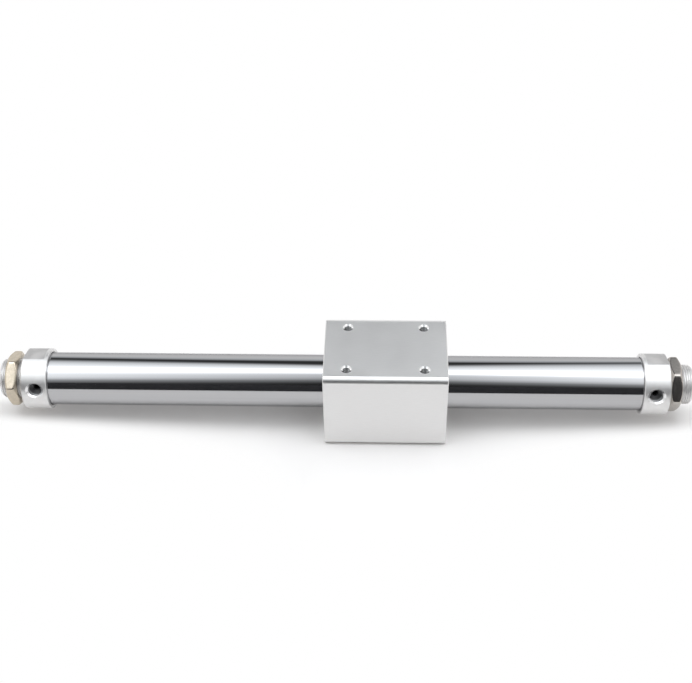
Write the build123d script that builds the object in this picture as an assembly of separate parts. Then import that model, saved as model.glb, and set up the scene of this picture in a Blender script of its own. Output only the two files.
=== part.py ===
from build123d import *
import os
from math import cos, radians, sin, tan

# Rodless pneumatic cylinder: a slider block pulled along a closed tube by magnets on the piston.
# Sizes are in millimetres. X runs along the tube, +Z is up and the photograph looks from -Y.
# The origin is on the tube's axis, half way between the two cover faces.
# An angle about the axis is 0 toward -Y and 90 toward +Z.

# Driving sizes of the tube and its stroke
bore_diameter = 32.0
tube_wall = 1.5
stroke = 300.0
slider_rest_x = 27.6

# Named clearances
running_clearance = 0.05
free_clearance = 0.4
seat_clearance = 0.05
end_gap = 0.2

# End covers
cover_wall = 2.5
cover_outer_chamfer = 0.6
cover_rim_chamfer = 0.4
flat_depth = 2.0
flat_angle = 109.0
cavity_end_wall = 5.5
rim_length = 2.5
collar_chamfer = 0.4

# Spigot that fits in the tube, with its snap ring and gasket
spigot_wall = 4.95
spigot_chamfer = 0.7
spigot_lead = 2.2
snap_width = 1.2
snap_outer_bite = 0.3
snap_inner_bite = 0.85
snap_gap = 4.0
spigot_land = 2.4
gasket_groove_width = 2.2
gasket_groove_depth = 1.2
gasket_side_gap = 0.15
gasket_corner = 0.4

# Air ports in the covers
port_angle = 19.0
port_radius = 4.86
port_seat_wall = 0.64
port_face_wall = 4.14
port_mouth_radius = 5.5
port_mouth_depth = 1.0
port_wall_length = 4.0
port_floor_depth = 1.1
passage_radius = 2.0

# Threaded noses and their nuts
nose_diameter = 26.0
nose_length = 16.0
nose_relief_length = 1.5
nose_relief_depth = 1.1
nose_end_length = 1.6
nose_end_depth = 1.2
nut_wall = 3.0
nut_thickness = 7.5
nut_face_inset = 0.5
nut_bore_chamfer = 0.8
nut_chamfer_angle = 30.0
nut_gap_right = 0.8
nut_gap_left = 3.9
nut_turn_right = 32.8
nut_turn_left = 49.0

# Magnet stacks, with the same spacing inside and outside the tube
magnet_count = 4
magnet_thickness = 6.5
magnet_edge = 0.4
yoke_thickness = 3.5
yoke_edge = 0.3
inner_yoke_gap = 0.5
inner_magnet_gap = 0.6
outer_stack_height = 7.05

# Piston assembly
shaft_diameter = 10.0
shaft_overhang = 7.2
shaft_chamfer = 0.8
piston_edge = 0.5
wear_start = 1.2
wear_width = 4.0
wear_depth = 1.2
wear_gap = 1.5
wear_gap_lean = 30.0
wear_land = 1.4
seal_groove_width = 3.6
seal_groove_depth = 3.0
seal_side_gap = 0.15
seal_heel = 0.5
seal_lip = 0.7
seal_lip_edge = 0.5
seal_notch_depth = 1.8
piston_lip = 1.8
bumper_seat_gap = 0.3
bumper_width = 2.9
bumper_inset = 1.0
bumper_projection = 3.05
bumper_round = 0.8
piston_nut_wall = 3.0
piston_nut_thickness = 5.0
piston_nut_inset = 0.3
piston_nut_chamfer = 0.5
piston_nut_turn = 20.0

# Slider block
slider_wall = 5.0
slider_corner_radius = 4.3
slider_side_milling = 0.1
slider_end_chamfer = 0.5
slider_bore_chamfer = 0.5
bolt_spacing_x = 50.0
bolt_spacing_y = 40.0
bolt_radius = 3.0
bolt_drill_radius = 2.5
bolt_thread_depth = 8.5
bolt_drill_depth = 10.0
bolt_drill_point = 1.5
bolt_mouth_radius = 3.6

# Bearing carriers, wear rings, scrapers and circlips at the slider's ends
bearing_start = 1.6
bearing_width = 9.0
bearing_thickness = 1.5
bearing_gap = 2.0
bearing_gap_lean = 30.0
bearing_land = 1.55
scraper_depth = 3.0
scraper_height = 3.2
scraper_back = 0.6
scraper_lip_reach = 1.1
scraper_lip_thickness = 0.9
clip_setback = 1.9
clip_thickness = 1.2
clip_bite = 1.2
clip_band = 2.8
clip_offset = 0.6
clip_lug_radius = 2.3
clip_lug_inset = 3.6
clip_lug_angle = 12.0
clip_slot_width = 3.7
clip_hole_radius = 0.9

# Derived radii
tube_inner_radius = bore_diameter / 2
tube_outer_radius = tube_inner_radius + tube_wall
cover_radius = tube_outer_radius + cover_wall
collar_radius = tube_outer_radius + seat_clearance
spigot_radius = tube_inner_radius - seat_clearance
cavity_radius = spigot_radius - spigot_wall
nose_radius = nose_diameter / 2
nut_width = nose_diameter + 2 * nut_wall
shaft_radius = shaft_diameter / 2
shaft_hole_radius = shaft_radius + seat_clearance
piston_nut_width = shaft_diameter + 2 * piston_nut_wall
piston_radius = tube_inner_radius - free_clearance
bumper_inner_radius = cavity_radius + bumper_seat_gap
bumper_outer_radius = bumper_inner_radius + bumper_width
stack_inner_radius = tube_outer_radius + free_clearance
stack_outer_radius = stack_inner_radius + outer_stack_height
slider_bore_radius = stack_outer_radius + seat_clearance
slider_width = 2 * (slider_bore_radius + slider_wall)
bearing_inner_radius = tube_outer_radius + running_clearance
bearing_outer_radius = bearing_inner_radius + bearing_thickness
scraper_outer_radius = tube_outer_radius + scraper_height
clip_outer_radius = slider_bore_radius + clip_bite

# Derived places along the tube, from the middle outward
yoke_count = magnet_count + 1
stack_pitch = magnet_thickness + yoke_thickness
stack_half = (magnet_count * magnet_thickness + yoke_count * yoke_thickness) / 2
piston_wear_x = stack_half + wear_start
piston_seal_x = piston_wear_x + wear_width + wear_land
piston_face = piston_seal_x + seal_groove_width + piston_lip
bumper_seat_x = piston_face - bumper_inset
bumper_face = piston_face + bumper_projection
bearing_x = stack_half + bearing_start
scraper_x = bearing_x + bearing_width + bearing_land
carrier_end = scraper_x + scraper_depth
slider_half = carrier_end + clip_thickness + clip_setback
slider_length = 2 * slider_half
spigot_end_x = stroke / 2 + bumper_face + end_gap
snap_x = spigot_end_x + spigot_lead
gasket_x = snap_x + snap_width + spigot_land
cover_rim_x = gasket_x + gasket_groove_width
tube_end_x = cover_rim_x + rim_length
port_x = tube_end_x + port_seat_wall + port_radius
cover_face_x = port_x + port_radius + port_face_wall
cavity_end_x = cover_face_x - cavity_end_wall
nose_end_x = cover_face_x + nose_length


def turned(corners):
    """A solid turned about the tube's axis from (x, radius) corners."""
    outline = Polyline(*[(x, r) for x, r in corners], close=True)
    return revolve(make_face(outline), axis=Axis.X)


def ring(start, end, inner, outer):
    """A plain ring between two x positions and two radii."""
    return turned([(start, inner), (end, inner), (end, outer), (start, outer)])


def edged_ring(start, end, inner, outer, edge):
    """A plain ring with its two outer edges chamfered."""
    corners = [
        (start, inner),
        (end, inner),
        (end, outer - edge),
        (end - edge, outer),
        (start + edge, outer),
        (start, outer - edge),
    ]
    return turned(corners)


def radial_frame(x, angle):
    """A place on the axis whose local Z points out of the tube at the angle."""
    return Pos(x, 0, 0) * Rot(90 - angle, 0, 0)


def radial_pin(radius, near, far):
    """A round tool from one distance off the axis to another, along local Z."""
    tool = Cylinder(radius, far - near, align=(Align.CENTER, Align.CENTER, Align.MIN))
    return Pos(0, 0, near) * tool


def radial_cone(near_radius, far_radius, near, far):
    """A tapered tool from one distance off the axis to another, along local Z."""
    tool = Cone(
        near_radius, far_radius, far - near, align=(Align.CENTER, Align.CENTER, Align.MIN)
    )
    return Pos(0, 0, near) * tool


def split(part, x, radius, gap, angle, lean):
    """Cuts a leaning gap through a ring, as a split wear ring or snap ring has."""
    blade = Box(4 * radius, gap, 2 * radius, align=(Align.CENTER, Align.CENTER, Align.MIN))
    return part - radial_frame(x, angle) * Rot(0, 0, lean) * blade


def hexagon(start, thickness, across, bore, inset, angle, bore_chamfer):
    """A nut with both faces turned to a cone, and one flat facing the given angle."""
    profile = RegularPolygon(across / 2, 6, major_radius=False, rotation=150 - angle)
    prism = Pos(start, 0, 0) * extrude(Plane.YZ * profile, thickness)
    end = start + thickness
    face_radius = across / 2 - inset
    clear_radius = across / 2 / cos(radians(30)) + inset
    cone_length = (clear_radius - face_radius) * tan(radians(nut_chamfer_angle))
    envelope = [
        (start, bore + bore_chamfer),
        (start, face_radius),
        (start + cone_length, clear_radius),
        (end - cone_length, clear_radius),
        (end, face_radius),
        (end, bore + bore_chamfer),
        (end - bore_chamfer, bore),
        (start + bore_chamfer, bore),
    ]
    return prism & turned(envelope)


# Tube, with a shallow groove inside each end for its snap ring
def make_tube():
    snap_floor = tube_inner_radius + snap_outer_bite
    tube = ring(-tube_end_x, tube_end_x, tube_inner_radius, tube_outer_radius)
    groove = ring(snap_x, snap_x + snap_width, cavity_radius, snap_floor)
    return tube - groove - mirror(groove, about=Plane.YZ)


# End cover for the +X end: a turned body, then two flats, then the air port
def make_cover():
    snap_floor = spigot_radius - snap_inner_bite
    gasket_floor = spigot_radius - gasket_groove_depth
    relief_radius = nose_radius - nose_relief_depth
    relief_end = cover_face_x + nose_relief_length
    corners = [
        (spigot_end_x, cavity_radius),
        (spigot_end_x, spigot_radius - spigot_chamfer),
        (spigot_end_x + spigot_chamfer, spigot_radius),
        (snap_x, spigot_radius),
        (snap_x, snap_floor),
        (snap_x + snap_width, snap_floor),
        (snap_x + snap_width, spigot_radius),
        (gasket_x, spigot_radius),
        (gasket_x, gasket_floor),
        (cover_rim_x, gasket_floor),
        (cover_rim_x, spigot_radius),
        (tube_end_x, spigot_radius),
        (tube_end_x, collar_radius),
        (cover_rim_x + collar_chamfer, collar_radius),
        (cover_rim_x, collar_radius + collar_chamfer),
        (cover_rim_x, cover_radius - cover_rim_chamfer),
        (cover_rim_x + cover_rim_chamfer, cover_radius),
        (cover_face_x - cover_outer_chamfer, cover_radius),
        (cover_face_x, cover_radius - cover_outer_chamfer),
        (cover_face_x, relief_radius),
        (relief_end, relief_radius),
        (relief_end + nose_relief_depth, nose_radius),
        (nose_end_x - nose_end_length, nose_radius),
        (nose_end_x, nose_radius - nose_end_depth),
        (nose_end_x, 0),
        (cavity_end_x, 0),
        (cavity_end_x, cavity_radius),
    ]
    cover = turned(corners)
    flat_length = cover_face_x - tube_end_x
    slab = Box(
        flat_length,
        2 * cover_radius,
        2 * flat_depth,
        align=(Align.MIN, Align.CENTER, Align.MIN),
    )
    for side in (0, 180):
        cover -= radial_frame(tube_end_x, flat_angle + side) * Pos(0, 0, cover_radius - flat_depth) * slab
    mouth = cover_radius - port_mouth_depth
    wall_end = mouth - port_wall_length
    floor = wall_end - port_floor_depth
    flare = port_mouth_radius + (port_mouth_radius - port_radius)
    port = radial_cone(port_radius, flare, mouth, mouth + 2 * port_mouth_depth)
    port += radial_pin(port_radius, wall_end, mouth)
    port += radial_cone(passage_radius, port_radius, floor, wall_end)
    port += radial_pin(passage_radius, cavity_radius / 2, floor)
    return cover - radial_frame(port_x, port_angle) * port


# Rings that seal and hold the tube on the spigot of the +X cover
def make_tube_gasket():
    inner = spigot_radius - gasket_groove_depth
    start = gasket_x + gasket_side_gap
    end = cover_rim_x - gasket_side_gap
    corners = [
        (start + gasket_corner, inner),
        (end - gasket_corner, inner),
        (end, inner + gasket_corner),
        (end, tube_inner_radius - gasket_corner),
        (end - gasket_corner, tube_inner_radius),
        (start + gasket_corner, tube_inner_radius),
        (start, tube_inner_radius - gasket_corner),
        (start, inner + gasket_corner),
    ]
    return turned(corners)


def make_tube_snap_ring():
    inner = spigot_radius - snap_inner_bite
    outer = tube_inner_radius + snap_outer_bite
    body = ring(snap_x, snap_x + snap_width, inner, outer)
    return split(body, snap_x, outer, snap_gap, 270, 0)


# Mounting nuts on the two noses
def make_mounting_nut(start, turn):
    return hexagon(
        start, nut_thickness, nut_width, nose_radius, nut_face_inset, turn, nut_bore_chamfer
    )


# Piston assembly, drawn about x = 0 for its +X end and moved to the slider's place
def make_piston_shaft():
    end = piston_face + shaft_overhang
    corners = [
        (-end, 0),
        (-end, shaft_radius - shaft_chamfer),
        (-end + shaft_chamfer, shaft_radius),
        (end - shaft_chamfer, shaft_radius),
        (end, shaft_radius - shaft_chamfer),
        (end, 0),
    ]
    return turned(corners)


def make_piston():
    wear_floor = piston_radius - wear_depth
    seal_floor = piston_radius - seal_groove_depth
    seal_end = piston_seal_x + seal_groove_width
    corners = [
        (stack_half, shaft_hole_radius),
        (stack_half, piston_radius - piston_edge),
        (stack_half + piston_edge, piston_radius),
        (piston_wear_x, piston_radius),
        (piston_wear_x, wear_floor),
        (piston_wear_x + wear_width, wear_floor),
        (piston_wear_x + wear_width, piston_radius),
        (piston_seal_x, piston_radius),
        (piston_seal_x, seal_floor),
        (seal_end, seal_floor),
        (seal_end, piston_radius),
        (piston_face - piston_edge, piston_radius),
        (piston_face, piston_radius - piston_edge),
        (piston_face, bumper_outer_radius),
        (bumper_seat_x, bumper_outer_radius),
        (bumper_seat_x, bumper_inner_radius),
        (piston_face, bumper_inner_radius),
        (piston_face, shaft_hole_radius),
    ]
    return turned(corners)


def make_piston_wear_ring():
    inner = piston_radius - wear_depth
    outer = tube_inner_radius - running_clearance
    body = ring(piston_wear_x, piston_wear_x + wear_width, inner, outer)
    middle = piston_wear_x + wear_width / 2
    return split(body, middle, outer, wear_gap, 90, wear_gap_lean)


def make_piston_seal():
    start = piston_seal_x + seal_side_gap
    end = piston_seal_x + seal_groove_width - seal_side_gap
    inner = piston_radius - seal_groove_depth
    outer = tube_inner_radius - running_clearance
    corners = [
        (start, inner),
        (end, inner),
        (end, inner + seal_lip),
        (end - seal_notch_depth, (inner + outer) / 2),
        (end, outer - seal_lip),
        (end - seal_lip_edge, outer),
        (end - seal_lip_edge - seal_lip, outer),
        (start, outer - seal_heel),
    ]
    return turned(corners)


def make_piston_bumper():
    corners = [
        (bumper_seat_x, bumper_inner_radius),
        (bumper_seat_x, bumper_outer_radius),
        (bumper_face - bumper_round, bumper_outer_radius),
        (bumper_face, bumper_outer_radius - bumper_round),
        (bumper_face, bumper_inner_radius + bumper_round),
        (bumper_face - bumper_round, bumper_inner_radius),
    ]
    return turned(corners)


def make_piston_nut():
    return hexagon(
        piston_face,
        piston_nut_thickness,
        piston_nut_width,
        shaft_radius,
        piston_nut_inset,
        piston_nut_turn,
        piston_nut_chamfer,
    )


# Slider block, drawn about x = 0: a round-cornered bar with its sides milled, then its bore
def make_slider_body():
    bar = Box(slider_length, slider_width + 2 * slider_side_milling, slider_width)
    bar = fillet(bar.edges().filter_by(Axis.X), slider_corner_radius)
    bar = chamfer(bar.faces().filter_by(Axis.X).edges(), slider_end_chamfer)
    block = bar & Box(slider_length, slider_width, slider_width)
    bore = ring(-slider_half, slider_half, 0, slider_bore_radius)
    mouth_radius = slider_bore_radius + slider_bore_chamfer
    mouth = turned(
        [
            (slider_half - slider_bore_chamfer, 0),
            (slider_half - slider_bore_chamfer, slider_bore_radius),
            (slider_half, mouth_radius),
            (slider_half, 0),
        ]
    )
    groove = ring(carrier_end, carrier_end + clip_thickness, 0, clip_outer_radius)
    block -= bore
    for cut in (mouth, groove):
        block = block - cut - mirror(cut, about=Plane.YZ)
    top = slider_width / 2
    mouth_depth = bolt_mouth_radius - bolt_radius
    drill_end = top - bolt_drill_depth
    hole = radial_pin(bolt_radius, top - bolt_thread_depth, top)
    hole += radial_pin(bolt_drill_radius, drill_end, top)
    hole += radial_cone(0, bolt_drill_radius, drill_end - bolt_drill_point, drill_end)
    hole += radial_cone(bolt_radius, bolt_mouth_radius, top - mouth_depth, top)
    for place in GridLocations(bolt_spacing_x, bolt_spacing_y, 2, 2):
        block -= place * hole
    return block


# Carrier for the bearing ring and the scraper at the slider's +X end
def make_bearing_carrier():
    bearing_end = bearing_x + bearing_width
    corners = [
        (stack_half, stack_inner_radius),
        (bearing_x, stack_inner_radius),
        (bearing_x, bearing_outer_radius),
        (bearing_end, bearing_outer_radius),
        (bearing_end, stack_inner_radius),
        (scraper_x, stack_inner_radius),
        (scraper_x, scraper_outer_radius),
        (carrier_end, scraper_outer_radius),
        (carrier_end, stack_outer_radius),
        (stack_half, stack_outer_radius),
    ]
    return turned(corners)


def make_slider_wear_ring():
    body = ring(bearing_x, bearing_x + bearing_width, bearing_inner_radius, bearing_outer_radius)
    middle = bearing_x + bearing_width / 2
    return split(body, middle, bearing_outer_radius, bearing_gap, 270, bearing_gap_lean)


def make_scraper():
    lip_x = carrier_end + scraper_lip_reach
    root = bearing_inner_radius + scraper_lip_thickness + free_clearance
    corners = [
        (scraper_x, stack_inner_radius),
        (scraper_x + scraper_back, stack_inner_radius),
        (lip_x, bearing_inner_radius),
        (lip_x, bearing_inner_radius + scraper_lip_thickness / 2),
        (carrier_end - scraper_back, root),
        (carrier_end, scraper_outer_radius - scraper_back),
        (carrier_end, scraper_outer_radius),
        (scraper_x, scraper_outer_radius),
    ]
    return turned(corners)


# Internal circlip with two eyed lugs, its gap toward -Z
def make_circlip():
    inner = clip_outer_radius - clip_band
    band = Circle(clip_outer_radius) - Pos(0, clip_offset) * Circle(inner)
    lug_centre = clip_outer_radius - clip_lug_inset
    eyes = []
    for side in (-1, 1):
        turn = side * radians(clip_lug_angle)
        eyes.append(Pos(lug_centre * sin(turn), -lug_centre * cos(turn)))
    for eye in eyes:
        band += eye * Circle(clip_lug_radius)
    band = band & Circle(clip_outer_radius)
    band -= Rectangle(clip_slot_width, 2 * clip_outer_radius, align=(Align.CENTER, Align.MAX))
    for eye in eyes:
        band -= eye * Circle(clip_hole_radius)
    return Pos(carrier_end, 0, 0) * extrude(Plane.YZ * band, clip_thickness)


# Writing the parts
def save(shape, name):
    export_step(shape, "parts/" + name + ".step")


def save_pair(shape, name, place):
    save(mirror(shape, about=Plane.YZ).moved(place), name + "_left")
    save(shape.moved(place), name + "_right")


def save_stack(yoke, magnet, name, place):
    for i in range(yoke_count):
        x = i * stack_pitch - stack_half
        save((Pos(x, 0, 0) * yoke).moved(place), name + "_yoke_" + str(i + 1))
    for i in range(magnet_count):
        x = i * stack_pitch + yoke_thickness - stack_half
        save((Pos(x, 0, 0) * magnet).moved(place), name + "_magnet_" + str(i + 1))


os.makedirs("parts", exist_ok=True)

still = Location((0, 0, 0))
moving = Location((slider_rest_x, 0, 0))

save(make_tube(), "tube")
save_pair(make_cover(), "cover", still)
save_pair(make_tube_gasket(), "tube_gasket", still)
save_pair(make_tube_snap_ring(), "tube_snap_ring", still)
left_nut_start = -cover_face_x - nut_gap_left - nut_thickness
save(make_mounting_nut(left_nut_start, nut_turn_left), "mounting_nut_left")
save(make_mounting_nut(cover_face_x + nut_gap_right, nut_turn_right), "mounting_nut_right")

save(make_piston_shaft().moved(moving), "piston_shaft")
save_pair(make_piston(), "piston", moving)
save_pair(make_piston_wear_ring(), "piston_wear_ring", moving)
save_pair(make_piston_seal(), "piston_seal", moving)
save_pair(make_piston_bumper(), "piston_bumper", moving)
save_pair(make_piston_nut(), "piston_nut", moving)
inner_yoke_radius = tube_inner_radius - inner_yoke_gap
inner_magnet_radius = tube_inner_radius - inner_magnet_gap
inner_yoke = edged_ring(0, yoke_thickness, shaft_hole_radius, inner_yoke_radius, yoke_edge)
inner_magnet = edged_ring(0, magnet_thickness, shaft_hole_radius, inner_magnet_radius, magnet_edge)
save_stack(inner_yoke, inner_magnet, "inner", moving)

save(make_slider_body().moved(moving), "slider_body")
save_pair(make_bearing_carrier(), "bearing_carrier", moving)
save_pair(make_slider_wear_ring(), "slider_wear_ring", moving)
save_pair(make_scraper(), "scraper", moving)
save_pair(make_circlip(), "circlip", moving)
outer_yoke = edged_ring(0, yoke_thickness, stack_inner_radius, stack_outer_radius, yoke_edge)
outer_magnet = edged_ring(0, magnet_thickness, stack_inner_radius, stack_outer_radius, magnet_edge)
save_stack(outer_yoke, outer_magnet, "outer", moving)
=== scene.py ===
from math import cos, pi, radians, sin

import bmesh
import bpy
from mathutils import Matrix, Vector


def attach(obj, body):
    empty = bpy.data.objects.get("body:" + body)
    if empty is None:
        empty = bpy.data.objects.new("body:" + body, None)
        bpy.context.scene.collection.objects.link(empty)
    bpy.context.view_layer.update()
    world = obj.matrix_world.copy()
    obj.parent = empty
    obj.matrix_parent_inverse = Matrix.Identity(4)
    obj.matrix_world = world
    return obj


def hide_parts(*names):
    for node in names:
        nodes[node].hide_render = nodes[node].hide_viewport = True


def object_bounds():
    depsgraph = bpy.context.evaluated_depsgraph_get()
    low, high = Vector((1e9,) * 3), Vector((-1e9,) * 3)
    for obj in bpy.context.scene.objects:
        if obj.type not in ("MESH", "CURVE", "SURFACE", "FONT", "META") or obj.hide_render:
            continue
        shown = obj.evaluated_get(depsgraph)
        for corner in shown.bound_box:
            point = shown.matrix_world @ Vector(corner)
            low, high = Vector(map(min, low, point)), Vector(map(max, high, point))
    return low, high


# Rodless pneumatic cylinder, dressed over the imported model. Lengths are in metres, in the model's frame:
# X runs along the tube, +Z is up and the photograph looks from -Y. An angle about the tube is 0 toward -Y
# and 90 toward +Z.

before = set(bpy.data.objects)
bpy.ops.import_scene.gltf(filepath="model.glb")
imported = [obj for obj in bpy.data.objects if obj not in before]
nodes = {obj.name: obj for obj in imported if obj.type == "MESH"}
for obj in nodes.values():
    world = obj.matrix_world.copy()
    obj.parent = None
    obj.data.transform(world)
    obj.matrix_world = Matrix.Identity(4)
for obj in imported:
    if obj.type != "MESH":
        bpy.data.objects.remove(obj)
cad_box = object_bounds()

MM = 0.001

# Camera, fitted to the photograph
CAMERA_PLACE = (0.027375, -0.566829, 0.552251)
CAMERA_RIGHT = (0.99941374, 0.03022909, -0.01607426)
CAMERA_UP = (-0.00847887, 0.67340452, 0.73922558)
CAMERA_FORWARD = (-0.03317060, 0.73865590, -0.67326604)
CAMERA_SENSOR = 36.0
CAMERA_LENS = 61.78
CAMERA_CLIP = (0.01, 100.0)

# Studio floor: matt paper that the camera sees as plain white away from the object, and nearer to it toward
# the object's ends, where that white is painted light over the object's shadow
FLOOR_Z = -30 * MM
FLOOR_COLOUR = (0.905, 0.885, 0.870)
FLOOR_REACH = 12.0
FLOOR_SEEN_WHITE = (0.00, 0.09)
FLOOR_MIRRORED_WHITE = (0.25, 0.45)
FLOOR_FADE = 400.0
FLOOR_FADE_MIDDLE_X = 0.019
FLOOR_FADE_HALF_X = 0.027
FLOOR_FADE_Y = 0.010
FLOOR_FADE_LEAN = 0.035
WORLD_DIFFUSE = 0.75

# Studio ceiling: its right-hand outline as (x, y), then (y, strength) of the softbox and of the pale wall
# beyond the dark gap behind it. Both bow away toward the sides, and the softbox is brighter there.
CEILING_Z = 0.50
CEILING_OUTLINE = [
    (0.66, -1.24),
    (0.60, -0.60),
    (0.40, -0.15),
    (0.40, 0.15),
    (0.60, 0.80),
    (0.70, 1.20),
]
SOFTBOX_COLOUR = (0.97, 1.0, 1.03)
SOFTBOX_STRENGTH = [
    (-1.24, 0.03),
    (-0.94, 0.03),
    (-0.741, 0.06),
    (-0.596, 0.17),
    (-0.483, 0.31),
    (-0.391, 0.64),
    (-0.312, 0.88),
    (-0.244, 1.01),
    (-0.182, 1.16),
    (-0.125, 1.65),
    (-0.100, 3.50),
    (0.020, 3.50),
    (0.045, 2.10),
    (0.110, 1.56),
    (0.160, 1.22),
    (0.200, 0.95),
    (0.235, 0.49),
    (0.270, 0.23),
    (0.310, 0.06),
    (1.20, 0.05),
]
WALL_STRENGTH = [
    (-1.24, 0.0),
    (0.48, 0.0),
    (0.50, 0.06),
    (0.58, 0.24),
    (0.66, 0.58),
    (0.75, 0.74),
    (0.85, 0.87),
    (1.20, 0.96),
]
BOW_MIDDLE_X = 0.012
BOW_PLAIN_HALF = 0.056
SOFTBOX_BOW_FRONT = 1.10
SOFTBOX_BOW_LEFT = 2.07
SOFTBOX_BOW_RIGHT = 4.78
WALL_BOW_LEFT = 1.85
WALL_BOW_RIGHT = 3.68
SOFTBOX_SIDE_GAIN = 2.25
SOFTBOX_GAIN_Y = (-0.10, -0.13)

# Studio card: a low black card in front, which gives polished metal its dark line
CARD_Y = -0.50
CARD_HALF_X = 1.0
CARD_TOP = 0.23
CARD_COLOUR = (0.05, 0.05, 0.053)
CARD_SHADES = (0.9, 1.1)
CARD_FIBRES = 900.0

# Round and flats of the end covers, and how closely a face has to match them
COVER_RADIUS = 20.0 * MM
COVER_FLAT_START = 197.6 * MM
ROUND_MATCH = 0.03 * MM
ROUND_LEAN = 0.998
FLAT_MATCH = 0.999

# Threaded noses, M26 x 1.5
NOSE_CUT_X = 212.8 * MM
NOSE_THREAD_START = 213.5 * MM
NOSE_END_X = 228.0 * MM
NOSE_RADIUS = 13.0 * MM
NOSE_RELIEF_RADIUS = 11.9 * MM
NOSE_END_START = 226.4 * MM
NOSE_END_SLOPE = 0.75
NOSE_PITCH = 1.5 * MM

# Tapped holes in the block, M6
BLOCK_TOP = 30.0 * MM
BOLT_X = (2.6 * MM, 52.6 * MM)
BOLT_Y = (-20.0 * MM, 20.0 * MM)
BOLT_RADIUS = 3.0 * MM
BOLT_MOUTH_RADIUS = 3.6 * MM
BOLT_THREAD_DEPTH = 8.5 * MM
BOLT_PITCH = 1.0 * MM
BOLT_CREST_DEPTH = 0.50 * MM

# Air ports in the covers, 1/8 inch taper pipe. Heights are measured from the tube's axis. A face at the
# mouth is part of its cone where its normal leans between the two MOUTH values against the port's axis.
PORT_X = 203.0 * MM
PORT_ANGLE = 19.0
PORT_RADIUS = 4.86 * MM
PORT_WALL_START = 15.0 * MM
PORT_FLOOR_REACH = 1.2 * MM
PORT_MOUTH_START = 19.0 * MM
PORT_MOUTH_RADIUS = 5.86 * MM
PORT_MOUTH_SLOPE = 1.0
PORT_CUT = (18.9 * MM, 20.5 * MM)
PORT_CUT_SKIN = 0.04 * MM
PORT_PITCH = 0.907 * MM
PORT_CREST_DEPTH = 0.50 * MM
MOUTH_LEAN = 0.90
MOUTH_STEEP = 0.40

# Finishes of a cover, in the order of its material slots. The flats and the inside of a port are darker
# copies of the aluminium: painted shade.
COVER_BODY, COVER_MOUTH, COVER_SHADED_INSIDE, COVER_SHADED_FLATS = range(4)

# Mounting nuts: a hexagon with rounded edges, turned to a cone at both faces
NUT_MIDDLE_X = {"left": -219.65 * MM, "right": 216.55 * MM}
NUT_TURN = {"left": 49.0, "right": 32.8}
NUT_SIDES = 6
NUT_HALF_THICKNESS = 3.75 * MM
NUT_HALF_WIDTH = 16.0 * MM
NUT_FACE_RADIUS = 15.7 * MM
NUT_CONE_SLOPE = 1.75
NUT_ROUNDING = 45
NUT_BORE_CHAMFER = 0.8 * MM
NUT_COLUMNS = 360
NUT_ROWS = 36

# Thread form, as shares of the pitch
EXTERNAL_DEPTH = 0.6134
INTERNAL_DEPTH = 0.5413
CREST_FLAT = 0.125
FLANK_RUN = 0.5774

# Mesh making: rows in one turn of a thread, columns round each shape, and what counts as the same point,
# a sharp edge or a flat end
THREAD_STOPS = 12
LINER_SKIN = 0.03 * MM
SHARP_ANGLE = 18.0
END_FACE = 0.9999
WELD = 0.001 * MM
NOSE_COLUMNS = 160
BOLT_COLUMNS = 72
PORT_COLUMNS = 96


# Node trees
MIX_FIRST = 6
MIX_SECOND = 7
MIX_COLOUR = 2
NOISE_SPAN = (0.3, 0.7)
PATCH_SPAN = (0.35, 0.65)


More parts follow.
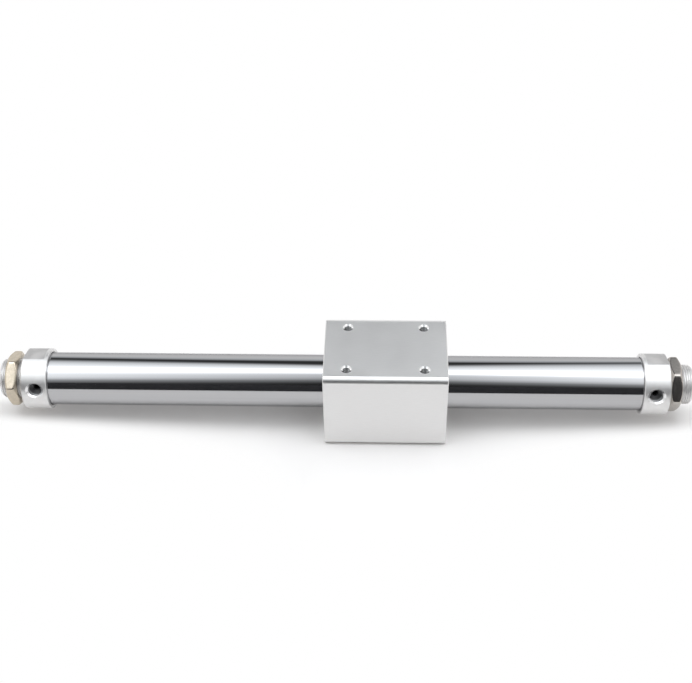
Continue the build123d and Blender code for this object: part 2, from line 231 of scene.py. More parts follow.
class Tree:
    """Short calls for building the node tree of a material or the world."""

    def __init__(self, tree):
        self.tree = tree
        tree.nodes.clear()

    def add(self, kind, **settings):
        node = self.tree.nodes.new(kind)
        for name, value in settings.items():
            setattr(node, name, value)
        return node

    def feed(self, socket, value):
        if isinstance(value, bpy.types.NodeSocket):
            self.tree.links.new(value, socket)
        elif isinstance(value, bpy.types.Node):
            self.tree.links.new(value.outputs[0], socket)
        else:
            socket.default_value = value

    def math(self, operation, *values):
        node = self.add("ShaderNodeMath", operation=operation)
        for socket, value in zip(node.inputs, values):
            self.feed(socket, value)
        return node.outputs[0]

    def span(self, value, from_low, from_high, to_low, to_high, smooth=False):
        node = self.add("ShaderNodeMapRange")
        if smooth:
            node.interpolation_type = "SMOOTHSTEP"
        for name, item in (
            ("Value", value),
            ("From Min", from_low),
            ("From Max", from_high),
            ("To Min", to_low),
            ("To Max", to_high),
        ):
            self.feed(node.inputs[name], item)
        return node.outputs["Result"]

    def blend(self, factor, first, second):
        node = self.add("ShaderNodeMix", data_type="RGBA")
        self.feed(node.inputs[0], factor)
        self.feed(node.inputs[MIX_FIRST], first)
        self.feed(node.inputs[MIX_SECOND], second)
        return node.outputs[MIX_COLOUR]

    def varied(self, noise, colour, low, high):
        """A colour that a noise takes from a darker to a lighter shade of itself."""
        share = self.span(noise, *NOISE_SPAN, 0.0, 1.0)
        return self.blend(share, shaded(colour, low), shaded(colour, high))

    def about(self, noise, middle, spread):
        """A value that a noise takes from below to above a middle value."""
        return self.span(noise, *NOISE_SPAN, middle - spread, middle + spread)

    def place(self):
        """The point on the object, in its own frame."""
        return self.add("ShaderNodeTexCoord").outputs["Object"]

    def stretched(self, scale):
        """The point with each axis scaled by itself, for grain that runs along one of them."""
        node = self.add("ShaderNodeVectorMath", operation="MULTIPLY")
        self.feed(node.inputs[0], self.place())
        self.feed(node.inputs[1], scale)
        return node.outputs[0]

    def turned(self, along, across):
        """The point as (x, distance from the tube's axis), for marks left by turning."""
        parts = self.add("ShaderNodeSeparateXYZ")
        self.feed(parts.inputs[0], self.place())
        squares = self.math(
            "ADD",
            self.math("MULTIPLY", parts.outputs["Y"], parts.outputs["Y"]),
            self.math("MULTIPLY", parts.outputs["Z"], parts.outputs["Z"]),
        )
        joined = self.add("ShaderNodeCombineXYZ")
        self.feed(joined.inputs["X"], self.math("MULTIPLY", parts.outputs["X"], along))
        self.feed(joined.inputs["Y"], self.math("MULTIPLY", self.math("SQRT", squares), across))
        return joined.outputs[0]

    def noise(self, vector, scale, detail=3.0, roughness=0.5):
        node = self.add("ShaderNodeTexNoise")
        self.feed(node.inputs["Vector"], vector)
        self.feed(node.inputs["Scale"], scale)
        self.feed(node.inputs["Detail"], detail)
        self.feed(node.inputs["Roughness"], roughness)
        return node.outputs["Fac"]

    def bump(self, height, distance):
        node = self.add("ShaderNodeBump")
        self.feed(node.inputs["Strength"], 1.0)
        self.feed(node.inputs["Distance"], distance)
        self.feed(node.inputs["Height"], height)
        return node.outputs["Normal"]


def surface(name, metallic, **sockets):
    """A new material with one Principled shader; returns the material, its tree and the shader."""
    material = bpy.data.materials.new(name)
    material.use_nodes = True
    tree = Tree(material.node_tree)
    shader = tree.add("ShaderNodeBsdfPrincipled")
    output = tree.add("ShaderNodeOutputMaterial")
    tree.feed(output.inputs["Surface"], shader)
    shader.inputs["Metallic"].default_value = metallic
    for socket, value in sockets.items():
        shader.inputs[socket.replace("_", " ")].default_value = value
    return material, tree, shader


def shaded(colour, factor):
    return tuple(c * factor for c in colour) + (1.0,)


# Materials: noise scales are per metre, and the height of a bump is in metres
TUBE_COLOUR = (0.470, 0.470, 0.478)
TUBE_EDGE_TINT = (0.66, 0.66, 0.67, 1.0)
TUBE_ROUGHNESS = (0.030, 0.060)
TUBE_STREAKS = (3.0, 420.0, 420.0)
TUBE_WAVES = (9.0, 45.0, 45.0)
TUBE_WAVE_HEIGHT = 0.00004
TURNED_RINGS = 9000.0
TURNED_RING_HEIGHT = 0.000003
TURNED_MOTTLE = 260.0
BLOCK_EDGE = (25.4 * MM, 26.2 * MM)
BLOCK_EDGE_GLOSS = 0.78
BLOCK_GRAIN = (160.0, 2600.0, 2600.0)
BLOCK_GRAIN_HEIGHT = 0.000004
BLOCK_MOTTLE = 70.0
# One plated steel in two tints: the left nut's paler tint is painted light, and the right nut's darker,
# greyer tint is painted shade
NUT_TINT_LEFT_LIT = (0.55, 0.485, 0.39, 1.0)
NUT_TINT_RIGHT_SHADED = (0.47, 0.44, 0.41, 1.0)
NUT_SHADES = (0.93, 1.05)
NUT_ROUGHNESS = (0.20, 0.14)
NUT_PATCHES = 420.0
NUT_MARKS = (600.0, 900.0, 900.0)
NUT_MARK_HEIGHT = 0.000006
PLAIN_GRAIN = 6000.0
PEBBLES = 2400.0
PEBBLE_HEIGHT = 0.00001


def polished_tube():
    """Hard polished tube: a mirror with a slow waviness and faint streaks along its length."""
    material, tree, shader = surface("polished_tube", 1.0, Specular_Tint=TUBE_EDGE_TINT)
    streaks = tree.noise(tree.stretched(TUBE_STREAKS), 1.0, 4.0)
    tree.feed(shader.inputs["Base Color"], tree.varied(streaks, TUBE_COLOUR, 0.96, 1.03))
    tree.feed(shader.inputs["Roughness"], tree.span(streaks, *NOISE_SPAN, *TUBE_ROUGHNESS))
    waves = tree.noise(tree.stretched(TUBE_WAVES), 1.0, 1.0)
    tree.feed(shader.inputs["Normal"], tree.bump(waves, TUBE_WAVE_HEIGHT))
    return material


def turned_metal(name, colour, roughness):
    """Turned and lightly blasted metal: fine rings about the axis over a soft mottle."""
    material, tree, shader = surface(name, 1.0)
    rings = tree.noise(tree.turned(TURNED_RINGS, TURNED_RINGS), 1.0, 2.0)
    mottle = tree.noise(tree.place(), TURNED_MOTTLE)
    tree.feed(shader.inputs["Base Color"], tree.varied(mottle, colour, 0.97, 1.03))
    tree.feed(shader.inputs["Roughness"], tree.about(mottle, roughness, 0.02))
    tree.feed(shader.inputs["Normal"], tree.bump(rings, TURNED_RING_HEIGHT))
    return material


def satin_block(name, colour, roughness):
    """Satin anodised aluminium: fine grain along the bar, a soft mottle and smoother rounded edges."""
    material, tree, shader = surface(name, 1.0)
    parts = tree.add("ShaderNodeSeparateXYZ")
    tree.feed(parts.inputs[0], tree.place())
    from_y = tree.math("ABSOLUTE", parts.outputs["Y"])
    from_z = tree.math("ABSOLUTE", parts.outputs["Z"])
    inner = tree.math("MINIMUM", from_y, from_z)
    smoother = tree.span(inner, *BLOCK_EDGE, 1.0, BLOCK_EDGE_GLOSS, smooth=True)
    grain = tree.noise(tree.stretched(BLOCK_GRAIN), 1.0, 3.0, 0.6)
    mottle = tree.noise(tree.place(), BLOCK_MOTTLE)
    tree.feed(shader.inputs["Base Color"], tree.varied(grain, colour, 0.975, 1.02))
    dull = tree.about(mottle, roughness, 0.02)
    tree.feed(shader.inputs["Roughness"], tree.math("MULTIPLY", dull, smoother))
    tree.feed(shader.inputs["Normal"], tree.bump(grain, BLOCK_GRAIN_HEIGHT))
    return material


def plated_nut():
    """Nickel-plated steel with a warm cast, faint tool marks and small dull patches. The left nut is tinted
    paler as painted light, and the right nut darker and greyer as painted shade.
    """
    material, tree, shader = surface("plated_nut", 1.0)
    patches = tree.noise(tree.place(), NUT_PATCHES, 4.0, 0.6)
    parts = tree.add("ShaderNodeSeparateXYZ")
    tree.feed(parts.inputs[0], tree.place())
    # Painted light and shade: the tint is picked by side, paler on the left nut and darker on the right
    on_right = tree.math("GREATER_THAN", parts.outputs["X"], 0.0)
    worn = tree.add("ShaderNodeHueSaturation")
    tree.feed(worn.inputs["Value"], tree.span(patches, *PATCH_SPAN, *NUT_SHADES))
    tree.feed(worn.inputs["Color"], tree.blend(on_right, NUT_TINT_LEFT_LIT, NUT_TINT_RIGHT_SHADED))
    tree.feed(shader.inputs["Base Color"], worn)
    tree.feed(shader.inputs["Roughness"], tree.span(patches, *PATCH_SPAN, *NUT_ROUGHNESS))
    marks = tree.noise(tree.stretched(NUT_MARKS), 1.0, 4.0)
    tree.feed(shader.inputs["Normal"], tree.bump(marks, NUT_MARK_HEIGHT))
    return material


def plain_metal(name, colour, roughness):
    """Machined metal with a fine even grain."""
    material, tree, shader = surface(name, 1.0)
    grain = tree.noise(tree.turned(PLAIN_GRAIN, PLAIN_GRAIN), 1.0, 2.0)
    tree.feed(shader.inputs["Base Color"], tree.varied(grain, colour, 0.93, 1.04))
    tree.feed(shader.inputs["Roughness"], tree.about(grain, roughness, 0.04))
    return material


def moulded(name, colour, roughness):
    """Moulded rubber or resin with a fine pebbled skin."""
    material, tree, shader = surface(name, 0.0)
    pebble = tree.noise(tree.place(), PEBBLES)
    tree.feed(shader.inputs["Base Color"], tree.varied(pebble, colour, 0.85, 1.12))
    tree.feed(shader.inputs["Roughness"], tree.about(pebble, roughness, 0.06))
    tree.feed(shader.inputs["Normal"], tree.bump(pebble, PEBBLE_HEIGHT))
    return material


MATERIALS = {
    "tube_steel": polished_tube(),
    "cover_aluminium": turned_metal("cover_aluminium_turned", (0.75, 0.745, 0.74), 0.42),
    "slider_aluminium": satin_block("slider_aluminium_satin", (0.765, 0.76, 0.755), 0.44),
    "carrier_aluminium": turned_metal("carrier_aluminium_turned", (0.66, 0.66, 0.67), 0.36),
    "piston_aluminium": turned_metal("piston_aluminium_turned", (0.66, 0.66, 0.67), 0.36),
    "nut_steel": plated_nut(),
    "shaft_steel": plain_metal("shaft_steel_ground", (0.52, 0.52, 0.53), 0.25),
    "yoke_steel": plain_metal("yoke_steel_cut", (0.40, 0.40, 0.41), 0.35),
    "magnet": plain_metal("magnet_plated", (0.50, 0.50, 0.51), 0.22),
    "spring_steel": plain_metal("spring_steel_phosphated", (0.12, 0.12, 0.125), 0.45),
    "rubber": moulded("rubber_black", (0.022, 0.022, 0.023), 0.55),
    "bumper_rubber": moulded("rubber_bumper", (0.10, 0.09, 0.08), 0.60),
    "bearing_resin": moulded("bearing_resin", (0.20, 0.15, 0.10), 0.50),
}
TOOL_BRIGHT = plain_metal("aluminium_tool_bright", (0.82, 0.82, 0.82), 0.22)
# Painted shade: the milled flats are the cover's aluminium made darker
COVER_FLAT_SHADED = turned_metal("cover_aluminium_milled_shaded", (0.585, 0.58, 0.58), 0.42)
# Painted shade: the thread in the tapped holes is glossy aluminium made dark, for the shade inside the
# holes
BOLT_THREAD_SHADED = plain_metal("aluminium_thread_glossy_shaded", (0.22, 0.22, 0.22), 0.22)
# Painted shade: the port's thread is aluminium made darker, for the shade inside the hole
PORT_THREAD_SHADED = plain_metal("aluminium_thread_dull_shaded", (0.38, 0.38, 0.385), 0.40)
# Painted shade: the floor of a port is aluminium made near black, for the little light deep in the hole
PORT_FLOOR_SHADED = plain_metal("aluminium_floor_painted_shade", (0.13, 0.13, 0.132), 0.50)


def dress_frame():
    """Gives every carried-over CAD node the detailed material of its slot."""
    for node in nodes.values():
        material = MATERIALS[node.data.materials[0].name]
        node.data.materials.clear()
        node.data.materials.append(material)


# Threads and other turned shapes
def turn_about(axis, angle):
    """A 4 by 4 turn by an angle in degrees about a named axis."""
    return Matrix.Rotation(radians(angle), 4, axis)


def port_place(sign):
    """Puts local Z on the axis of a port, from the middle of the tube outward."""
    return Matrix.Translation((sign * PORT_X, 0, 0)) @ turn_about("X", 90 - PORT_ANGLE)


def thread_radius(phase, major, pitch, depth_share):
    """The radius of a 60 degree thread at a share of its pitch, with its crest at phase 0."""
    from_crest = abs((phase + 0.5) % 1.0 - 0.5) * pitch
    down_flank = (from_crest - CREST_FLAT * pitch / 2) / FLANK_RUN
    return major - min(max(down_flank, 0.0), depth_share * pitch)


def helix_rows(start, end, pitch, columns, radius_at):
    """Rows of (z, radius) that follow a right-hand helix and stop flat at both ends."""
    turns = int((end - start) / pitch) + 2
    rows = []
    for row in range(-THREAD_STOPS, turns * THREAD_STOPS + 1):
        ring = []
        for column in range(columns):
            turn = column / columns
            z = min(max(start + (row / THREAD_STOPS + turn) * pitch, start), end)
            ring.append((z, radius_at(z, (z - start) / pitch - turn)))
        rows.append(ring)
    return rows


def plain_row(z, radius, columns):
    return [(z, radius)] * columns


def spin(mesh, before, helix, after, matrix, closed):
    """Adds a turned shape to a bmesh from rows of (z, radius) about local Z.

    The helix rows in the middle meet themselves one turn on, and plain rows meet at the same row.
    """
    rows = before + helix + after
    columns = len(rows[0])
    grid = []
    for ring in rows:
        verts = []
        for column, (z, radius) in enumerate(ring):
            turn = 2 * pi * column / columns
            verts.append(mesh.verts.new(matrix @ Vector((radius * cos(turn), radius * sin(turn), z))))
        grid.append(verts)
    first = len(before)
    last = first + len(helix) - 1
    pairs = [(row, row + 1) for row in range(len(rows) - 1)]
    if closed:
        pairs.append((len(rows) - 1, 0))
    for low, high in pairs:
        in_helix = first <= low < last and high == low + 1
        for column in range(columns):
            corners = [grid[low][column], grid[high][column]]
            if column < columns - 1:
                corners += [grid[high][column + 1], grid[low][column + 1]]
            elif in_helix:
                on = THREAD_STOPS
                corners += [grid[min(high + on, last)][0], grid[min(low + on, last)][0]]
            else:
                corners += [grid[high][0], grid[low][0]]
            corners = list(dict.fromkeys(corners))
            if len(corners) > 2:
                mesh.faces.new(corners)


def tidy(mesh):
    """Merges doubled points and turns all faces outward."""
    bmesh.ops.remove_doubles(mesh, verts=mesh.verts, dist=WELD)
    bmesh.ops.dissolve_degenerate(mesh, edges=mesh.edges, dist=WELD)
    bmesh.ops.recalc_face_normals(mesh, faces=mesh.faces)


def piece_from(mesh, name, body, slot, *materials):
    """Makes an object from a bmesh, smooth but for sharp edges and flat ends, that rides on a body."""
    data = bpy.data.meshes.new(name)
    for material in materials:
        data.materials.append(material)
    mesh.to_mesh(data)
    mesh.free()
    for polygon in data.polygons:
        polygon.use_smooth = abs(polygon.normal.x) < END_FACE
    data.set_sharp_from_angle(angle=radians(SHARP_ANGLE))
    piece = bpy.data.objects.new(name, data)
    bpy.context.collection.objects.link(piece)
    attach(piece, body)
    return piece


# End covers: the CAD cover up to its nose, then a nose with a real thread
def nose_radius(z, phase):
    radius = thread_radius(phase, NOSE_RADIUS, NOSE_PITCH, EXTERNAL_DEPTH)
    run_in = NOSE_RELIEF_RADIUS + (z - NOSE_THREAD_START)
    run_out = NOSE_RADIUS - max(z - NOSE_END_START, 0.0) * NOSE_END_SLOPE
    return min(radius, run_in, run_out)


def cut_out(mesh, cutter):
    """Takes a closed shape out of a closed mesh, and returns what is left as a new bmesh."""
    things = []
    for shape in (mesh, cutter):
        data = bpy.data.meshes.new("cut")
        shape.to_mesh(data)
        shape.free()
        thing = bpy.data.objects.new("cut", data)
        bpy.context.collection.objects.link(thing)
        things.append(thing)
    boolean = things[0].modifiers.new("cut", "BOOLEAN")
    boolean.operation = "DIFFERENCE"
    boolean.solver = "EXACT"
    boolean.object = things[1]
    left = bmesh.new()
    left.from_object(things[0], bpy.context.evaluated_depsgraph_get())
    for thing in things:
        data = thing.data
        bpy.data.objects.remove(thing)
        bpy.data.meshes.remove(data)
    return left


def widen_port(mesh, matrix):
    """Cuts a flatter cone into the mouth of the port, and returns the new mesh."""
    rows = []
    for z in PORT_CUT:
        radius = PORT_RADIUS + PORT_CUT_SKIN + (z - PORT_MOUTH_START) * PORT_MOUTH_SLOPE
        rows.append(plain_row(z, radius, PORT_COLUMNS))
    ends = [plain_row(z, 0.0, PORT_COLUMNS) for z in PORT_CUT]
    cutter = bmesh.new()
    spin(cutter, [ends[0], *rows, ends[1]], [], [], matrix, False)
    tidy(cutter)
    return cut_out(mesh, cutter)


def true_normals(data, middle, axis):
    """Gives a cover's round and the cone at its port's mouth exact normals, so that no facet shows."""
    normals = [Vector((0, 0, 0))] * len(data.loops)
    for polygon in data.polygons:
        lean = polygon.normal.dot(axis)
        in_mouth = polygon.material_index == COVER_MOUTH and MOUTH_STEEP < lean < MOUTH_LEAN
        for index in polygon.loop_indices:
            place = data.vertices[data.loops[index].vertex_index].co
            outward = Vector((0, place.y, place.z))
            if in_mouth:
                offset = place - middle
                away = (offset - axis * offset.dot(axis)).normalized()
                normals[index] = (axis * PORT_MOUTH_SLOPE - away).normalized()
            elif abs(outward.length - COVER_RADIUS) < ROUND_MATCH:
                outward = outward.normalized()
                if polygon.normal.dot(outward) > ROUND_LEAN:
                    normals[index] = outward
    data.normals_split_custom_set(normals)


def mark_cover(mesh, middle, axis):
    """Sets the finish of each face of a cover: milled flats made darker as painted shade, a port's bright
    mouth, and its inside made near black as painted shade.
    """
    flat = axis.cross(Vector((1, 0, 0)))
    for face in mesh.faces:
        centre = face.calc_center_median()
        offset = centre - middle
        height = offset.dot(axis)
        away = (offset - axis * height).length
        on_flat = abs(face.normal.dot(flat)) > FLAT_MATCH
        face.material_index = COVER_BODY
        # The flats get the darker copy of the aluminium: painted shade
        if on_flat and COVER_FLAT_START < abs(centre.x) < NOSE_CUT_X:
            face.material_index = COVER_SHADED_FLATS
        if away < PORT_MOUTH_RADIUS and height > PORT_WALL_START - PORT_FLOOR_REACH:
            # The floor of the port gets near-black aluminium: painted shade
            if height <= PORT_WALL_START:
                face.material_index = COVER_SHADED_INSIDE
            elif face.normal.dot(axis) < MOUTH_LEAN:
                face.material_index = COVER_MOUTH
            else:
                face.material_index = COVER_BODY


def make_cover(side, sign):
    node = "cover_" + side
    mesh = bmesh.new()
    mesh.from_mesh(nodes[node].data)
    bmesh.ops.remove_doubles(mesh, verts=mesh.verts, dist=WELD)
    everything = mesh.verts[:] + mesh.edges[:] + mesh.faces[:]
    bmesh.ops.bisect_plane(
        mesh,
        geom=everything,
        plane_co=(sign * NOSE_CUT_X, 0, 0),
        plane_no=(sign, 0, 0),
        clear_outer=True,
    )
    rim = [edge for edge in mesh.edges if edge.is_boundary]
    bmesh.ops.edgeloop_fill(mesh, edges=rim)
    bmesh.ops.recalc_face_normals(mesh, faces=mesh.faces)
    mesh = widen_port(mesh, port_place(sign))
    nose = bmesh.new()
    before = [
        plain_row(NOSE_CUT_X, 0.0, NOSE_COLUMNS),
        plain_row(NOSE_CUT_X, NOSE_RELIEF_RADIUS, NOSE_COLUMNS),
    ]
    helix = helix_rows(NOSE_THREAD_START, NOSE_END_X, NOSE_PITCH, NOSE_COLUMNS, nose_radius)
    after = [plain_row(NOSE_END_X, 0.0, NOSE_COLUMNS)]
    spin(nose, before, helix, after, turn_about("Y", sign * 90), False)
    tidy(nose)
    data = bpy.data.meshes.new("nose")
    nose.to_mesh(data)
    nose.free()
    mesh.from_mesh(data)
    bpy.data.meshes.remove(data)
    middle = Vector((sign * PORT_X, 0, 0))
    axis = Vector((0, -cos(radians(PORT_ANGLE)), sin(radians(PORT_ANGLE))))
    mesh.normal_update()
    mark_cover(mesh, middle, axis)
    finishes = (MATERIALS["cover_aluminium"], TOOL_BRIGHT, PORT_FLOOR_SHADED, COVER_FLAT_SHADED)
    piece = piece_from(mesh, node + "_threaded", "cylinder", "cover_aluminium", *finishes)
    true_normals(piece.data, middle, axis)
    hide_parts(node)


# Mounting nuts
def nut_radius(from_middle, angle, turn):
    """Where a ray at an angle leaves the nut: six flats and a cone, blended so that the edges are round."""
    cone = NUT_FACE_RADIUS + (NUT_HALF_THICKNESS - abs(from_middle)) * NUT_CONE_SLOPE
    total = cone ** -NUT_ROUNDING
    for side in range(NUT_SIDES):
        lean = cos(angle - radians(turn + side * 360 / NUT_SIDES))
        if lean > 0:
            total += (lean / NUT_HALF_WIDTH) ** NUT_ROUNDING
    return total ** (-1 / NUT_ROUNDING)


def make_nut(side):
    half = NUT_HALF_THICKNESS
    outer = []
    for row in range(NUT_ROWS + 1):
        z = -half * cos(pi * row / NUT_ROWS)
        ring = []
        for column in range(NUT_COLUMNS):
            angle = -pi / 2 - 2 * pi * column / NUT_COLUMNS
            ring.append((z, nut_radius(z, angle, NUT_TURN[side])))
        outer.append(ring)
    inner = [
        plain_row(half, NOSE_RADIUS + NUT_BORE_CHAMFER, NUT_COLUMNS),
        plain_row(half - NUT_BORE_CHAMFER, NOSE_RADIUS, NUT_COLUMNS),
        plain_row(NUT_BORE_CHAMFER - half, NOSE_RADIUS, NUT_COLUMNS),
        plain_row(-half, NOSE_RADIUS + NUT_BORE_CHAMFER, NUT_COLUMNS),
    ]
    mesh = bmesh.new()
    place = Matrix.Translation((NUT_MIDDLE_X[side], 0, 0)) @ turn_about("Y", 90)
    spin(mesh, outer + inner, [], [], place, True)
    tidy(mesh)
    piece = piece_from(mesh, "nut_" + side + "_rounded", "cylinder", "nut_steel", MATERIALS["nut_steel"])
    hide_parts("mounting_nut_" + side)


# Internal threads: thin closed liners that stand in from the plain wall of a hole
def make_liner(name, body, slot, finish, matrix, start, end, radius, pitch, columns):
    major = radius - LINER_SKIN

    def radius_at(z, phase):
        return 2 * major - INTERNAL_DEPTH * pitch - thread_radius(phase, major, pitch, INTERNAL_DEPTH)

    mesh = bmesh.new()
    before = [plain_row(start, radius + LINER_SKIN, columns)]
    after = [plain_row(end, radius + LINER_SKIN, columns)]
    helix = helix_rows(start, end, pitch, columns, radius_at)
    spin(mesh, before, helix, after, matrix, True)
    tidy(mesh)
    piece_from(mesh, name, body, slot, finish)


def make_mouth(name, body, slot, matrix, profile, columns):
    """A bright turned ring that opens a tapped hole, from a closed profile of (z, radius)."""
    mesh = bmesh.new()
    spin(mesh, [plain_row(z, radius, columns) for z, radius in profile], [], [], matrix, True)
    tidy(mesh)
    piece_from(mesh, name, body, slot, TOOL_BRIGHT)


def make_bolt_threads():
    skin = LINER_SKIN
    cone_foot = BLOCK_TOP - (BOLT_MOUTH_RADIUS - BOLT_RADIUS)
    crest = BOLT_RADIUS - BOLT_CREST_DEPTH
    top = cone_foot - BOLT_CREST_DEPTH
    bottom = BLOCK_TOP - BOLT_THREAD_DEPTH
    profile = [
        (BLOCK_TOP - skin, BOLT_MOUTH_RADIUS - 2 * skin),
        (top, crest - skin),
        (top, BOLT_RADIUS + skin),
        (cone_foot, BOLT_RADIUS + skin),
        (BLOCK_TOP - skin, BOLT_MOUTH_RADIUS),
    ]
    number = 0
    for x in BOLT_X:
        for y in BOLT_Y:
            number += 1
            at = Matrix.Translation((x, y, 0))
            tail = "_" + str(number)
            make_mouth("bolt_mouth" + tail, "carriage", "slider_aluminium", at, profile, BOLT_COLUMNS)
            make_liner(
                "bolt_thread" + tail,
                "carriage",
                "slider_aluminium",
                BOLT_THREAD_SHADED,
                at,
                bottom,
                top,
                BOLT_RADIUS,
                BOLT_PITCH,
                BOLT_COLUMNS,
            )


def make_port_threads():
    skin = LINER_SKIN
    crest = PORT_RADIUS - PORT_CREST_DEPTH
    top = PORT_MOUTH_START - PORT_CREST_DEPTH / PORT_MOUTH_SLOPE
    profile = [
        (PORT_MOUTH_START, PORT_RADIUS - skin),
        (top, crest - skin),
        (top, PORT_RADIUS + skin),
        (PORT_MOUTH_START, PORT_RADIUS + skin),
    ]
    for side, sign in (("left", -1), ("right", 1)):
        at = port_place(sign)
        make_mouth("port_mouth_" + side, "cylinder", "cover_aluminium", at, profile, PORT_COLUMNS)
        make_liner(
            "port_thread_" + side,
            "cylinder",
            "cover_aluminium",
            PORT_THREAD_SHADED,
            at,
            PORT_WALL_START,
            top,
            PORT_RADIUS,
            PORT_PITCH,
            PORT_COLUMNS,
        )


# Studio
def sheet_object(name, corners, material):
    mesh = bpy.data.meshes.new(name)
    mesh.from_pydata(corners, [], [tuple(range(len(corners)))])
    mesh.materials.append(material)
    sheet = bpy.data.objects.new(name, mesh)
    bpy.context.collection.objects.link(sheet)
    return sheet


def make_floor():
    """A pale matt floor that keeps the shadow near the object and is plain white farther out.

    The camera also sees white past a line that leans in toward the object's ends: painted light that cuts
    the object's shadow short there.
    """
    material = bpy.data.materials.new("floor_paper")
    material.use_nodes = True
    tree = Tree(material.node_tree)
    paper = tree.add("ShaderNodeBsdfDiffuse")
    tree.feed(paper.inputs["Color"], FLOOR_COLOUR + (1.0,))
    white = tree.add("ShaderNodeEmission")
    parts = tree.add("ShaderNodeSeparateXYZ")
    tree.feed(parts.inputs[0], tree.place())
    past = []
    for axis, low, high in (("X", cad_box[0][0], cad_box[1][0]), ("Y", cad_box[0][1], cad_box[1][1])):
        middle = (low + high) / 2
        half = (high - low) / 2
        away = tree.math("ABSOLUTE", tree.math("SUBTRACT", parts.outputs[axis], middle))
        beyond = tree.math("MAXIMUM", tree.math("SUBTRACT", away, half), 0.0)
        past.append(tree.math("MULTIPLY", beyond, beyond))
    distance = tree.math("SQRT", tree.math("ADD", past[0], past[1]))
    path = tree.add("ShaderNodeLightPath")
    mirrored = tree.math("MAXIMUM", path.outputs["Is Glossy Ray"], path.outputs["Is Transmission Ray"])
    seen_far = tree.span(distance, *FLOOR_SEEN_WHITE, 0.0, 1.0, smooth=True)
    # Painted light: past a line that leans in toward the ends, the camera sees white over the object's
    # shadow
    from_middle = tree.math("ABSOLUTE", tree.math("SUBTRACT", parts.outputs["X"], FLOOR_FADE_MIDDLE_X))
    to_end = tree.math("MAXIMUM", tree.math("SUBTRACT", from_middle, FLOOR_FADE_HALF_X), 0.0)
    shadow = tree.math("SUBTRACT", FLOOR_FADE_Y, tree.math("MULTIPLY", to_end, FLOOR_FADE_LEAN))
    from_line = tree.math("SUBTRACT", tree.math("ABSOLUTE", parts.outputs["Y"]), shadow)
    faded = tree.math("MULTIPLY", tree.math("MULTIPLY", from_line, to_end), FLOOR_FADE)
    painted_light_at_ends = tree.span(faded, 0.0, 1.0, 0.0, 1.0, smooth=True)
    seen_white = tree.math("MAXIMUM", seen_far, painted_light_at_ends)
    mirrored_far = tree.span(distance, *FLOOR_MIRRORED_WHITE, 0.0, 1.0, smooth=True)
    whiteness = tree.math(
        "MAXIMUM",
        tree.math("MULTIPLY", seen_white, path.outputs["Is Camera Ray"]),
        tree.math("MULTIPLY", mirrored_far, mirrored),
    )
    mix = tree.add("ShaderNodeMixShader")
    tree.feed(mix.inputs[0], whiteness)
    tree.feed(mix.inputs[1], paper)
    tree.feed(mix.inputs[2], white)
    tree.feed(tree.add("ShaderNodeOutputMaterial").inputs["Surface"], mix)
    reach = FLOOR_REACH
    corners = [(-reach, -reach), (reach, -reach), (reach, reach), (-reach, reach)]
    sheet_object("floor", [(x, y, FLOOR_Z) for x, y in corners], material)


def falloff(tree, y, levels, peak):
    """A strength that follows (y, strength) levels, as a share of the peak."""
    front = levels[0][0]
    back = levels[-1][0]
    ramp = tree.add("ShaderNodeValToRGB")
    stops = ramp.color_ramp.elements
    while len(stops) < len(levels):
        stops.new(0.5)
    for stop, (place, strength) in zip(stops, levels):
        stop.position = (place - front) / (back - front)
        share = strength / peak
        stop.color = (share, share, share, 1.0)
    tree.feed(ramp.inputs[0], tree.span(y, front, back, 0.0, 1.0))
    return ramp.outputs["Color"]


def make_ceiling():
    """An overhead softbox, and the soft upper edge of the pale wall behind the object."""
    peak = max(strength for _, strength in SOFTBOX_STRENGTH)
    material = bpy.data.materials.new("ceiling_cloth")
    material.use_nodes = True
    tree = Tree(material.node_tree)
    parts = tree.add("ShaderNodeSeparateXYZ")
    tree.feed(parts.inputs[0], tree.place())
    y = parts.outputs["Y"]
    across = tree.math("SUBTRACT", parts.outputs["X"], BOW_MIDDLE_X)
    reach = tree.math("MAXIMUM", tree.math("SUBTRACT", tree.math("ABSOLUTE", across), BOW_PLAIN_HALF), 0.0)
    on_right = tree.math("GREATER_THAN", across, 0.0)
    behind = tree.math("GREATER_THAN", y, 0.0)
    back_bow = tree.span(on_right, 0.0, 1.0, SOFTBOX_BOW_LEFT, SOFTBOX_BOW_RIGHT)
    bow = tree.span(behind, 0.0, 1.0, SOFTBOX_BOW_FRONT, back_bow)
    bowed = tree.math("DIVIDE", y, tree.math("MULTIPLY_ADD", reach, bow, 1.0))
    cloth = falloff(tree, bowed, SOFTBOX_STRENGTH, peak)
    at_front = tree.span(y, *SOFTBOX_GAIN_Y, 0.0, 1.0, smooth=True)
    gain = tree.math("MULTIPLY", tree.math("MULTIPLY", reach, SOFTBOX_SIDE_GAIN), at_front)
    lit = tree.math("MULTIPLY", cloth, tree.math("ADD", gain, 1.0))
    wall_bow = tree.span(on_right, 0.0, 1.0, WALL_BOW_LEFT, WALL_BOW_RIGHT)
    wall_bulge = tree.math("MULTIPLY_ADD", tree.math("MULTIPLY", reach, reach), wall_bow, 1.0)
    wall = falloff(tree, tree.math("DIVIDE", y, wall_bulge), WALL_STRENGTH, peak)
    glow = tree.add("ShaderNodeEmission")
    tree.feed(glow.inputs["Color"], SOFTBOX_COLOUR + (1.0,))
    tree.feed(glow.inputs["Strength"], tree.math("MULTIPLY", tree.math("MAXIMUM", lit, wall), peak))
    tree.feed(tree.add("ShaderNodeOutputMaterial").inputs["Surface"], glow)
    corners = [(-x, y, CEILING_Z) for x, y in CEILING_OUTLINE]
    corners += [(x, y, CEILING_Z) for x, y in reversed(CEILING_OUTLINE)]
    ceiling = sheet_object("ceiling", corners, material)
    ceiling.visible_camera = False


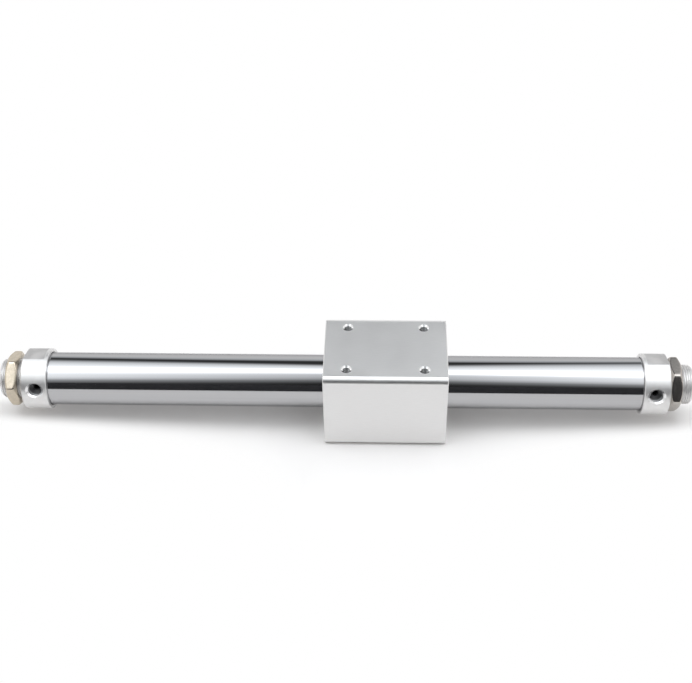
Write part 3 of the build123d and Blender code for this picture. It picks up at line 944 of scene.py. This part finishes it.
def make_card():
    """A low black card in front of the object, which gives polished metal its dark line."""
    material, tree, shader = surface("card_black", 0.0, Roughness=1.0)
    fibres = tree.noise(tree.place(), CARD_FIBRES)
    dark = tree.blend(fibres, *(shaded(CARD_COLOUR, shade) for shade in CARD_SHADES))
    tree.feed(shader.inputs["Base Color"], dark)
    shader.inputs["Specular IOR Level"].default_value = 0.0
    half = CARD_HALF_X
    corners = [(-half, FLOOR_Z), (half, FLOOR_Z), (half, CARD_TOP), (-half, CARD_TOP)]
    card = sheet_object("card", [(x, CARD_Y, z) for x, z in corners], material)
    card.visible_camera = False


def make_world():
    world = bpy.data.worlds.new("studio")
    world.use_nodes = True
    tree = Tree(world.node_tree)
    sky = tree.add("ShaderNodeBackground")
    tree.feed(sky.inputs["Color"], (1.0, 1.0, 1.0, 1.0))
    path = tree.add("ShaderNodeLightPath")
    both = tree.math("MAXIMUM", path.outputs["Is Camera Ray"], path.outputs["Is Glossy Ray"])
    shown = tree.math("MAXIMUM", both, path.outputs["Is Transmission Ray"])
    tree.feed(sky.inputs["Strength"], tree.span(shown, 0.0, 1.0, WORLD_DIFFUSE, 1.0))
    tree.feed(tree.add("ShaderNodeOutputWorld").inputs["Surface"], sky)
    bpy.context.scene.world = world


def make_camera():
    data = bpy.data.cameras.new("camera")
    data.sensor_fit = "HORIZONTAL"
    data.sensor_width = CAMERA_SENSOR
    data.lens = CAMERA_LENS
    data.clip_start, data.clip_end = CAMERA_CLIP
    camera = bpy.data.objects.new("camera", data)
    bpy.context.collection.objects.link(camera)
    back = tuple(-c for c in CAMERA_FORWARD)
    turn = Matrix((CAMERA_RIGHT, CAMERA_UP, back)).transposed()
    camera.matrix_world = Matrix.Translation(CAMERA_PLACE) @ turn.to_4x4()
    bpy.context.scene.camera = camera


dress_frame()
make_cover("left", -1)
make_cover("right", 1)
make_nut("left")
make_nut("right")
make_bolt_threads()
make_port_threads()
make_floor()
make_ceiling()
make_card()
make_world()
make_camera()
bpy.context.scene.view_settings.view_transform = "Standard"
